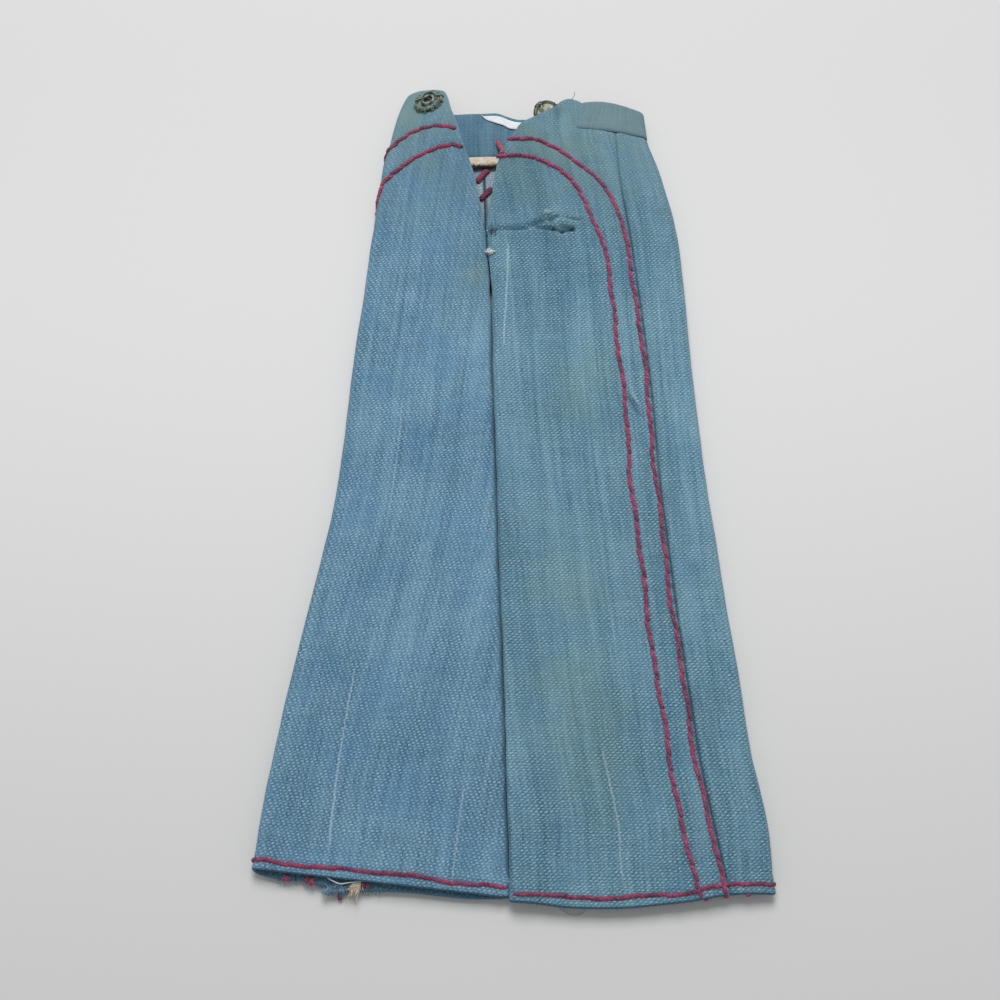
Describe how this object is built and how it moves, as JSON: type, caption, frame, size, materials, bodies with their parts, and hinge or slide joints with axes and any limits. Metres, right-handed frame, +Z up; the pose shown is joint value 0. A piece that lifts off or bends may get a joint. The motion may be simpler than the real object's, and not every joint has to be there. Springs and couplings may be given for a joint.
{
  "type": "fashion doll trousers",
  "caption": "Flared denim trousers for a fashion doll, laid flat with the fly open: leg panels, waistband, fold-back fly flaps with a sew-on snap, and topstitching.",
  "frame": {"origin": "middle of the underside, on the surface the trousers lie on", "axes": "+X to the viewer's right with the front of the trousers up, +Y from the hems to the waist, +Z up through the cloth"},
  "size_m": [0.0964, 0.173, 0.008],
  "materials": {
    "denim": "washed light-blue twill denim, matt, with pale weft flecks and slub streaks",
    "denim_inside": "paler wrong side of the denim, matt",
    "red_thread": "crimson polyester sewing thread with a soft sheen",
    "cream_edge": "raw cream cloth edge, matt and frayed",
    "white_tape": "white cotton, matt",
    "green_thread": "dark grey-green sewing thread",
    "dark_steel": "dull nickel-plated steel, tarnished dark at the rim",
    "brass": "worn brass, darkened at the rim and bright on the plate"
  },
  "bodies": {
    "trousers": {"front_panel_left": "denim", "front_panel_right": "denim", "back_panel_left": "denim", "back_panel_right": "denim", "waistband": "denim", "waist_facing": "denim_inside", "facing_edge_tape": "cream_edge", "waist_tape": "white_tape", "back_seam_zigzag": "red_thread", "hem_stitch_left": "red_thread", "hem_stitch_right": "red_thread", "outer_row_right": "red_thread", "inner_row_right": "red_thread", "outer_row_left": "red_thread", "inner_row_left": "red_thread", "fly_tack": "white_tape"},
    "flap_left": {"fly_flap_left": "denim", "outer_row_left_flap": "red_thread", "inner_row_left_flap": "red_thread", "snap_socket": "dark_steel", "snap_spring": "dark_steel", "snap_socket_stitch_1": "green_thread", "snap_socket_stitch_2": "green_thread", "snap_socket_stitch_3": "green_thread", "snap_socket_stitch_4": "green_thread"},
    "flap_right": {"fly_flap_right": "denim", "outer_row_right_flap": "red_thread", "inner_row_right_flap": "red_thread", "snap_ball": "brass", "snap_ball_stitch_1": "green_thread", "snap_ball_stitch_2": "green_thread", "snap_ball_stitch_3": "green_thread", "snap_ball_stitch_4": "green_thread"}
  },
  "joints": [
    {"name": "left_flap_fold", "type": "hinge", "parent": "trousers", "child": "flap_left", "pos_m": [-0.00459, 0.04848, 0.0035], "axis": [0.4741, -0.8805, 0], "range_deg": [0, 110]},
    {"name": "right_flap_fold", "type": "hinge", "parent": "trousers", "child": "flap_right", "pos_m": [-0.00459, 0.04848, 0.0035], "axis": [0.4799, 0.876, 0.048], "range_deg": [0, 110]}
  ]
}
